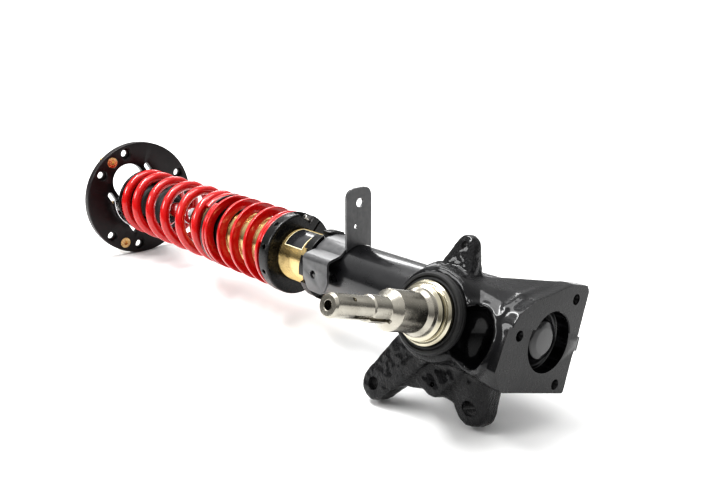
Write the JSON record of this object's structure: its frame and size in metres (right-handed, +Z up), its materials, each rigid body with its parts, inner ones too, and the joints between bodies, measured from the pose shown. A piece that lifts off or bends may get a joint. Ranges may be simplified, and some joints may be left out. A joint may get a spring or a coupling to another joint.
{
  "type": "front strut coilover",
  "caption": "Front suspension strut: threaded damper body, main and tender springs, sliding camber plate with a spherical bearing, and a welded knuckle with its stub axle.",
  "frame": {"origin": "on the surface that the strut lies on, under the middle of its bounding box", "axes": "+X along the strut from the camber plate to the knuckle, +Y away from the stub axle, +Z up"},
  "size_m": [0.71, 0.2574, 0.1652],
  "materials": {
    "black_anodised": "black anodised, satin",
    "yellow_zinc": "bright yellow zinc plate",
    "bright_aluminium": "machined",
    "aluminium": "machined",
    "steel": "machined",
    "machined_steel": "turned, oiled",
    "chrome": "hard chrome, polished",
    "red_powder_coat": "gloss powder coat",
    "satin_black": "semi-gloss paint",
    "bracket_black": "satin paint",
    "cast_black": "gloss paint on a rough casting",
    "black_plastic": "moulded",
    "pale_plastic": "woven liner",
    "soft_black": "matt"
  },
  "bodies": {
    "housing": {"strut_housing": "satin_black", "knuckle": "cast_black", "stub_axle": "machined_steel", "hub_seal_ring": "soft_black", "hose_bracket": "bracket_black"},
    "lock_ring": {"lock_ring": "black_anodised"},
    "cartridge": {"pressure_tube": "steel", "base_valve": "steel"},
    "threaded_body": {"threaded_body": "yellow_zinc", "gland_nut": "satin_black", "rod_seal": "soft_black", "rod_guide": "aluminium"},
    "tender": {"tender_spring": "red_powder_coat"},
    "perch": {"spring_perch": "black_anodised", "perch_clamp_screw": "steel"},
    "coupler": {"spring_coupler": "black_plastic", "main_spring": "red_powder_coat"},
    "piston": {"piston": "steel", "piston_nut": "steel"},
    "rod": {"piston_rod": "chrome", "bump_stop": "soft_black", "upper_spring_seat": "satin_black", "rod_top_nut": "yellow_zinc", "bearing_ball": "chrome"},
    "liner": {"bearing_liner": "pale_plastic"},
    "carrier": {"bearing_race": "steel", "bearing_carrier": "bright_aluminium", "race_circlip": "steel", "carrier_bolt_1": "steel", "carrier_bolt_2": "steel", "carrier_bolt_3": "steel", "carrier_bolt_4": "steel", "carrier_nut_1": "yellow_zinc", "carrier_nut_2": "yellow_zinc", "carrier_nut_3": "yellow_zinc", "carrier_nut_4": "yellow_zinc"},
    "plate": {"camber_plate": "black_anodised", "plate_screw_1": "yellow_zinc", "plate_screw_2": "yellow_zinc", "plate_screw_3": "yellow_zinc"}
  },
  "joints": [
    {"name": "lock_ring_turn", "type": "hinge", "parent": "housing", "child": "lock_ring", "pos_m": [0.079, 0.05254, 0.0762], "axis": [1, 0, 0], "range_deg": [0, 90]},
    {"name": "body_height", "type": "slide", "parent": "housing", "child": "cartridge", "axis": [1, 0, 0], "range_m": [-0.0121, 0.0201]},
    {"name": "body_turn", "type": "hinge", "parent": "cartridge", "child": "threaded_body", "pos_m": [0.027, 0.05254, 0.0762], "axis": [1, 0, 0], "range_deg": [-2160, 3600]},
    {"name": "perch_height", "type": "slide", "parent": "threaded_body", "child": "tender", "axis": [1, 0, 0], "range_m": [0, 0.0151]},
    {"name": "perch_turn", "type": "hinge", "parent": "tender", "child": "perch", "pos_m": [0.0224, 0.05254, 0.0762], "axis": [1, 0, 0], "range_deg": [0, 2700]},
    {"name": "coupler_travel", "type": "slide", "parent": "tender", "child": "coupler", "axis": [1, 0, 0], "range_m": [0, 0.034]},
    {"name": "damper_stroke", "type": "slide", "parent": "cartridge", "child": "piston", "axis": [1, 0, 0], "range_m": [0, 0.075], "stiffness_N_per_m": 25000, "springref_m": -0.004, "deforming": ["main_spring", "tender_spring"]},
    {"name": "rod_turn", "type": "hinge", "parent": "piston", "child": "rod", "pos_m": [-0.223, 0.05254, 0.0762], "axis": [1, 0, 0], "range_deg": [-45, 45]},
    {"name": "top_mount_pitch", "type": "hinge", "parent": "rod", "child": "liner", "pos_m": [-0.325, 0.05254, 0.0762], "axis": [0, 1, 0], "range_deg": [-4, 4]},
    {"name": "top_mount_yaw", "type": "hinge", "parent": "liner", "child": "carrier", "pos_m": [-0.325, 0.05254, 0.0762], "axis": [0, 0, 1], "range_deg": [-4, 4]},
    {"name": "camber_slide", "type": "slide", "parent": "carrier", "child": "plate", "axis": [0, -0.515, 0.8572], "range_m": [-0.019, 0.019]}
  ],
  "couplings": [
    {"joint": "body_height", "follows": "body_turn", "m_per_rad": 0.00031831},
    {"joint": "perch_height", "follows": "perch_turn", "m_per_rad": 0.00031831},
    {"joint": "coupler_travel", "follows": "damper_stroke", "ratio": 0.45}
  ]
}
